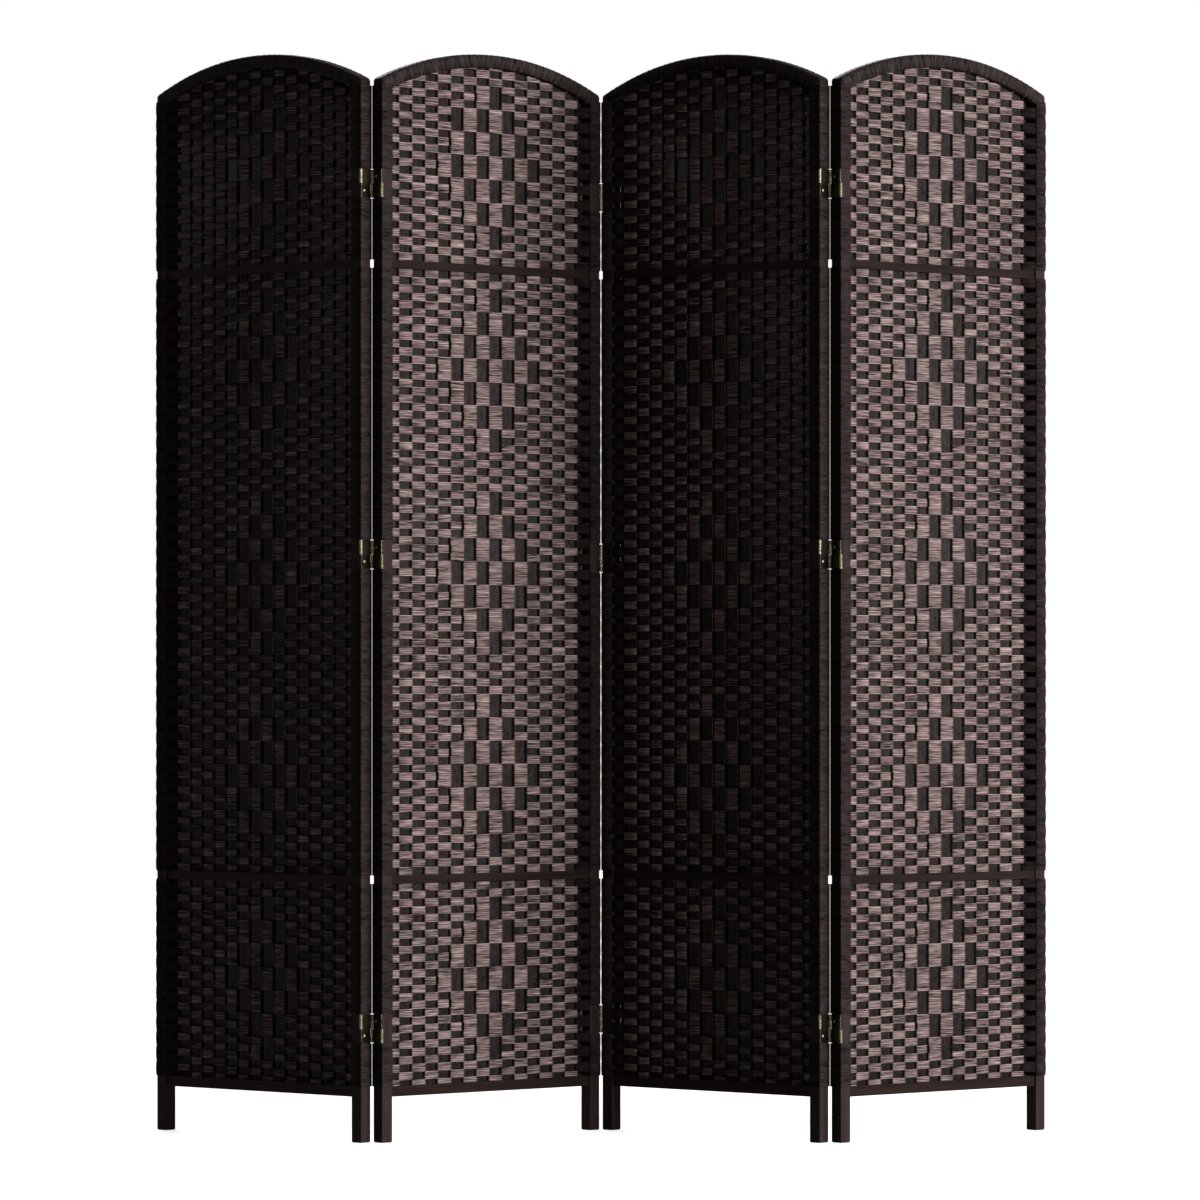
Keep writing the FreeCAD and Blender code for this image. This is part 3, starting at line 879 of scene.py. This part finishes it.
def reach_plan(right):
    """Plan of the cord that runs from the weave to the front of a stile, drawn for a stile on the right.

    On a panel's right it slants through the middle of the weave's end to the stile's corner. On the left it
    lies on the stile's inner face.
    """
    sizes = bpy.context.scene.divider_sizes
    inner = inner_half()
    skin = sizes.wrap_depth / 2
    face = sizes.stile_depth / 2
    swing = SLAT_HALF + sizes.cord_depth / 2
    if right:
        end = weave_end()
        return np.array([(end - REACH_LAP, swing), (end, 0.0), (inner - skin, -face)])
    return np.array([(inner - skin / 2, -SLAT_HALF), (inner - skin / 2, -face)])


def turn_plan():
    """Plan of a turn round the front, the outer face and the back of a stile that stands on the right."""
    sizes = bpy.context.scene.divider_sizes
    skin = sizes.wrap_depth / 2
    inner = inner_half() + TURN_PLAY
    outer = sizes.panel_width / 2 + skin
    face = sizes.stile_depth / 2 + skin
    half = np.array([(inner, -face), (outer - TURN_BEND, -face), (outer, -face), (outer, TURN_BEND - face)])
    return np.concatenate([half, half[::-1] * (1, -1)])


def stile_runs(hinged):
    """Lowest and highest level of each run of winding between rails, hinges and the bare ends."""
    height = bpy.context.scene.divider_sizes.hinge_height
    ends = [BOTTOM_RAIL_TOP, LOWER_RAIL_LOW, LOWER_RAIL_TOP, UPPER_RAIL_LOW, UPPER_RAIL_TOP, STILE_WRAP_TOP]
    if hinged:
        for start in HINGE_LEVELS:
            ends += [start - BARE_ROUND_HINGE, start + height + BARE_ROUND_HINGE]
    ends.sort()
    return list(zip(ends[::2], ends[1::2]))


def bind_stile(surface, hand, hinged):
    """Winds a stile: each turn is two rows tall, and the turns of a run share its height evenly.

    The turns lie flatter between two panels than on a free edge, and flattest of all on the left.
    """
    sizes = bpy.context.scene.divider_sizes
    belly, furrow = FOLD_TURNS[hand] if hinged else FREE_TURN
    plan = turn_plan() * (hand, 1)
    if hand < 0:
        plan = plan[::-1]
    for low, high in stile_runs(hinged):
        turns = max(1, round((high - low) / (2 * ROW_PITCH)))
        height = (high - low) / turns
        profile, groove = bound_profile(height, sizes.wrap_depth, 2 * CORDS_IN_ROW, belly, furrow)
        for turn in range(turns):
            level = low + (turn + 0.5) * height
            path = np.concatenate([plan, np.full((len(plan), 1), level)], 1)
            points, where = ribbon(path, profile, sharp=True)
            where[:, 1] += level
            where[:, 0] += TURN_SHIFT * turn
            # The furrows between cords are marked as grooves, where shade is painted
            surface.add(points, len(profile), where, groove=np.tile(groove, len(plan)))


def reach_stile(surface, hand):
    """Carries each row from the weave to the front or the back of a stile, by turns.

    The cords that come forward on the right lie deep, so shade is painted on them.
    """
    sizes = bpy.context.scene.divider_sizes
    profile, groove = cord_profile(ROW_PITCH * REACH_OVERLAP, sizes.wrap_depth, CORDS_IN_ROW)
    radius = arch_radius()
    stile_top = ARCH_TOP - radius + math.sqrt((radius - sizes.arch_depth) ** 2 - inner_half() ** 2)
    for _, section, rows in WEAVE_PARTS:
        for row in rows:
            level = row_level(section, row)
            if level - ROW_PITCH / 2 > stile_top:
                continue
            through = -1 if in_front(section, row)[-1 if hand > 0 else 0] else 1
            plan = reach_plan(hand > 0) * (hand, through)
            points, where = ribbon(np.concatenate([plan, np.full((len(plan), 1), level)], 1), profile)
            keep_between_rails(points, section)
            where[:, 1] += level
            # Painted shade on the deep cords that come forward to a right stile
            crease = np.full(len(points), REACH_PAINTED_SHADE if hand > 0 and through > 0 else 0.0)
            surface.add(points, len(profile), where, crease, np.tile(groove, len(plan)))


class DIVIDER_OT_stile_cords(bpy.types.Operator):
    """Carries the ends of the rows to the stiles and winds them round"""

    bl_idname = "divider.stile_cords"
    bl_label = "Wind Stiles"

    def execute(self, context):
        for number in PANELS:
            for side, hand in (("left", -1), ("right", 1)):
                surface = Surface()
                bind_stile(surface, hand, side in HINGED_STILES[number])
                reach_stile(surface, hand)
                wound = surface.piece(f"panel_{number}_{side}_stile_cord", number, "Dark Cord")
                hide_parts(f"panel_{number}_cord_wraps")
        return {"FINISHED"}


def arch_shape():
    """The winding of an arch: a rounded block section carried round the arc, swelling with every cord.

    The swell goes up and down once a cord, with two slow waves on top that make the outline uneven. Over the
    curve it grows towards the shoulders, in proportion to the angle from the crown. Each corner of the
    section is its place out from the arc and through the panel, and the share of the swell that it takes in
    each of those ways.
    """
    sizes = bpy.context.scene.divider_sizes
    radius = arch_radius()
    centre = ARCH_TOP - radius
    half_turn = math.asin((sizes.panel_width / 2 - ARCH_END_PLAY) / radius)
    count = int(2 * half_turn * radius * CORDS_IN_ROW / ROW_PITCH)
    angle = np.linspace(-half_turn, half_turn, 2 * count + 1)
    crest = np.arange(len(angle)) % 2
    waves = sum(size * np.sin(angle * rate + start) for size, rate, start in ARCH_WAVES)
    swell = (np.where(crest == 1, CREST_SWELL, DIP_SWELL) + waves) * sizes.wrap_depth
    depth, under, inset = sizes.stile_depth / 2, sizes.arch_depth, ARCH_CHAMFER
    section = np.array([
        (0, inset - depth, 1, 0), (0, depth - inset, 1, 0), (-inset, depth, 0.7, 0.7),
        (inset - under, depth, 0, 1), (-under, depth - inset, -0.7, 0.7), (-under, inset - depth, -1, 0),
        (inset - under, -depth, -0.7, -0.7), (-inset, -depth, 0, -1),
    ])
    over = swell * (1 + SHOULDER_SWELL * np.abs(angle) / half_turn)
    out = radius + section[None, :, 0] + section[None, :, 2] * over[:, None]
    points = np.stack([
        np.sin(angle)[:, None] * out,
        section[None, :, 1] + section[None, :, 3] * swell[:, None],
        centre + np.cos(angle)[:, None] * out,
    ], -1).reshape(-1, 3)
    around = np.concatenate([[0], np.cumsum(np.linalg.norm(np.diff(section[:, :2], axis=0), axis=1))])
    where = np.stack(np.broadcast_arrays(around[None, :], (angle * radius)[:, None]), -1).reshape(-1, 2)
    # The dips between cords are marked as grooves, where shade is painted
    return points, len(section), where, None, np.repeat(1 - crest, len(section))


class DIVIDER_OT_arch_cords(bpy.types.Operator):
    """Winds dark cord over the arches"""

    bl_idname = "divider.arch_cords"
    bl_label = "Wind Arches"

    def execute(self, context):
        for number in PANELS:
            surface = Surface()
            surface.add(*arch_shape())
            wound = surface.piece(f"panel_{number}_arch_cord", number, "Arch Cord")
            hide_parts(f"panel_{number}_cord_wraps")
        return {"FINISHED"}


def dress(node, material):
    """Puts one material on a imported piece."""
    for slot in node.material_slots:
        slot.material = material
    if not node.material_slots:
        node.data.materials.append(material)


class DIVIDER_OT_finishes(bpy.types.Operator):
    """Builds the materials and gives the wood and the ironwork theirs"""

    bl_idname = "divider.finishes"
    bl_label = "Finish Wood and Ironwork"

    def execute(self, context):
        sizes, colours = context.scene.divider_sizes, context.scene.divider_colours
        grain_group()
        shadow_group()
        polish_group()
        # Each groove strength is how much shade is painted in the grooves between cords
        corded(
            "Pale Cord", colours.cord, stretch=(28, 420, 1), groove=0.95, contrast=0.95, mottle=0.25,
            tint=[CORD_TINT_SHARE * each for each in colours.cord], shine=0.35,
        )
        corded(
            "Dark Cord", colours.wrap, stretch=(60, 420, 1), groove=0.6, contrast=0.75, mottle=0.35,
            tint=colours.warm_wrap,
        )
        corded(
            "Arch Cord", colours.wrap, stretch=(45, 300, 1), groove=0.75, contrast=0.95, mottle=0.2,
            tint=colours.warm_wrap, roughness=0.4, specular=0.02,
        )
        slat, surface = grained(
            "Dark Slat", colours.slat, "UV", stretch=(260, 620, 1), contrast=0.8, mottle=0.35,
            tint=SLAT_TINT,
        )[:2]
        # On a slat this attribute marks only the flat edges, and makes them glossier
        edge = own_value(slat.node_tree, "crease").outputs["Fac"]
        glint(surface, edge, low=0.3, high=0.9, strength=0.55)
        upright = grained("Upright Wood", colours.wood, "Object", stretch=(500, 500, 14), mottle=0.4)[0]
        rails = {}
        for sign, label in ((1, "Rising"), (-1, "Falling")):
            rails[sign] = grained(
                f"{label} Rail Wood", colours.rail, "Object", stretch=(14, 500, 500),
                turn=-sign * sizes.fold_turn, mottle=0.4,
            )[0]
        bright, surface = new_material("Bright Brass", roughness=0.3, metallic=1.0)
        surface.inputs["Base Color"].default_value = rgba(colours.bright_brass)
        # Screw heads get a base colour several times paler than the bright brass: a painted highlight
        painted_shade_and_highlight, surface = new_material("Worn Screw Heads", roughness=0.45, metallic=0.3)
        pale = [SCREW_HIGHLIGHT_GAIN * each for each in colours.bright_brass]
        surface.inputs["Base Color"].default_value = rgba(pale)
        for name, node in frame["nodes"].items():
            if name.endswith("stile"):
                dress(node, upright)
            elif name.endswith("rail"):
                dress(node, rails[-1 if int(name.split("_")[1]) in TURNED_PANELS else 1])
            elif name.endswith(("leaves", "links")):
                low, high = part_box(name)
                label = f"Rubbed Brass {name.removeprefix('hinge_')}"
                dress(node, rubbed_brass(label, colours, (low + high) / 2))
            elif name.endswith(("pins", "screws")):
                dress(node, painted_shade_and_highlight if name.endswith("screws") else bright)
        return {"FINISHED"}


def sees_white(tree):
    """A node that is one for camera, mirror and glass rays and nothing for the rest: their greatest."""
    path = tree.nodes.new("ShaderNodeLightPath")
    first = math_node(tree, "MAXIMUM")
    both = math_node(tree, "MAXIMUM")
    wire(
        tree,
        (path, "Is Camera Ray", first, 0),
        (path, "Is Glossy Ray", first, 1),
        (first, "Value", both, 0),
        (path, "Is Transmission Ray", both, 1),
    )
    return both


def floor_material():
    """White where it is seen, still with the shadow, and dull for the light that it throws back."""
    material, surface = new_material("Pale Floor", roughness=0.9)
    surface.inputs["Base Color"].default_value = (0.1, 0.1, 0.1, 1)
    tree = material.node_tree
    shade = tree.nodes.new("ShaderNodeBsdfDiffuse")
    shade.inputs["Color"].default_value = (0.9, 0.9, 0.9, 1)
    glow = tree.nodes.new("ShaderNodeEmission")
    glow.inputs["Strength"].default_value = FLOOR_GLOW
    bright = tree.nodes.new("ShaderNodeAddShader")
    pick = tree.nodes.new("ShaderNodeMixShader")
    wire(
        tree,
        (sees_white(tree), "Value", pick, "Fac"),
        (surface, "BSDF", pick, 1),
        (shade, "BSDF", bright, 0),
        (glow, "Emission", bright, 1),
        (bright, "Shader", pick, 2),
        (pick, "Shader", tree.nodes["Material Output"], "Surface"),
    )
    return material


def hang(lamp, way):
    """Puts a lamp in the scene, shining back along the way that leads to it."""
    obj = bpy.data.objects.new(lamp.name, lamp)
    obj.rotation_mode = "QUATERNION"
    obj.rotation_quaternion = way.to_track_quat("Z", "Y")
    bpy.context.scene.collection.objects.link(obj)
    return obj


def key_lamps():
    """Two lamps low on the right: a wide one farther round, and a narrow one that grazes the dark panels."""
    for name, turn, width, energy in KEY_LAMPS:
        lamp = bpy.data.lights.new(name, "AREA")
        lamp.shape = "RECTANGLE"
        lamp.size, lamp.size_y = width, LAMP_HEIGHT
        lamp.energy = energy
        azimuth = math.radians(turn)
        level = math.cos(LAMP_RISE)
        way = Vector((math.cos(azimuth) * level, math.sin(azimuth) * level, math.sin(LAMP_RISE)))
        hang(lamp, way).location = Vector(LAMP_AIM) + LAMP_DISTANCE * way


def back_lamp():
    """A wide sun from behind, over the arches."""
    lamp = bpy.data.lights.new("back lamp", "SUN")
    lamp.energy = BACK_STRENGTH
    lamp.angle = BACK_SPREAD
    hang(lamp, Vector(BACK_WAY))


def white_world():
    """White where it is seen, and almost no light on the object."""
    world = bpy.data.worlds.new("studio")
    world.use_nodes = True
    tree = world.node_tree
    dim = tree.nodes["Background"]
    dim.inputs["Color"].default_value = (1, 1, 1, 1)
    dim.inputs["Strength"].default_value = ROOM_LIGHT
    white = tree.nodes.new("ShaderNodeBackground")
    white.inputs["Color"].default_value = (1, 1, 1, 1)
    white.inputs["Strength"].default_value = 1.0
    pick = tree.nodes.new("ShaderNodeMixShader")
    wire(
        tree,
        (sees_white(tree), "Value", pick, "Fac"),
        (dim, "Background", pick, 1),
        (white, "Background", pick, 2),
        (pick, "Shader", tree.nodes["World Output"], "Surface"),
    )
    return world


class DIVIDER_OT_stage(bpy.types.Operator):
    """Lays the pale floor, hangs the lamps and points the camera"""

    bl_idname = "divider.stage"
    bl_label = "Set Stage"

    def execute(self, context):
        scene = context.scene
        bpy.ops.mesh.primitive_plane_add(size=FLOOR_SIZE, location=(0, 0, 0))
        floor = context.object
        floor.name = "floor"
        floor.data.materials.append(floor_material())
        key_lamps()
        back_lamp()
        scene.world = white_world()
        eye = bpy.data.cameras.new("camera")
        eye.sensor_width = 36
        eye.lens = CAMERA_LENS
        eye.shift_y = CAMERA_SHIFT
        eye.clip_end = 100
        camera = bpy.data.objects.new("camera", eye)
        camera.location = (CAMERA_ASIDE, PIN_LINES["fold_2_3"][1] - CAMERA_AWAY, CAMERA_LEVEL)
        camera.rotation_euler = (math.pi / 2, 0, 0)
        scene.collection.objects.link(camera)
        scene.camera = camera
        scene.view_settings.view_transform = "Standard"
        return {"FINISHED"}


class DIVIDER_PT_sidebar(bpy.types.Panel):
    """Sizes, colours and steps of the divider"""

    bl_idname = "DIVIDER_PT_sidebar"
    bl_label = "Room Divider"
    bl_space_type = "VIEW_3D"
    bl_region_type = "UI"
    bl_category = "Divider"

    def draw(self, context):
        layout = self.layout
        for group in (context.scene.divider_sizes, context.scene.divider_colours):
            column = layout.column(align=True)
            for name in group.bl_rna.properties.keys():
                if name not in ("rna_type", "name"):
                    column.prop(group, name)
        for step in STEPS:
            layout.operator(step.bl_idname)


STEPS = (
    DIVIDER_OT_finishes, DIVIDER_OT_weave, DIVIDER_OT_slats, DIVIDER_OT_stile_cords, DIVIDER_OT_arch_cords,
    DIVIDER_OT_stage,
)
CLASSES = (DividerSizes, DividerColours, *STEPS, DIVIDER_PT_sidebar)


def register():
    """Registers every class and hangs the sizes and colours on the scene."""
    for each in CLASSES:
        bpy.utils.register_class(each)
    bpy.types.Scene.divider_sizes = bpy.props.PointerProperty(type=DividerSizes)
    bpy.types.Scene.divider_colours = bpy.props.PointerProperty(type=DividerColours)


def unregister():
    """Takes the classes, sizes and colours away again."""
    del bpy.types.Scene.divider_colours
    del bpy.types.Scene.divider_sizes
    for each in reversed(CLASSES):
        bpy.utils.unregister_class(each)


def main():
    """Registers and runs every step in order."""
    register()
    bpy.ops.divider.finishes()
    bpy.ops.divider.weave()
    bpy.ops.divider.slats()
    bpy.ops.divider.stile_cords()
    bpy.ops.divider.arch_cords()
    bpy.ops.divider.stage()


if __name__ == "__main__":
    main()
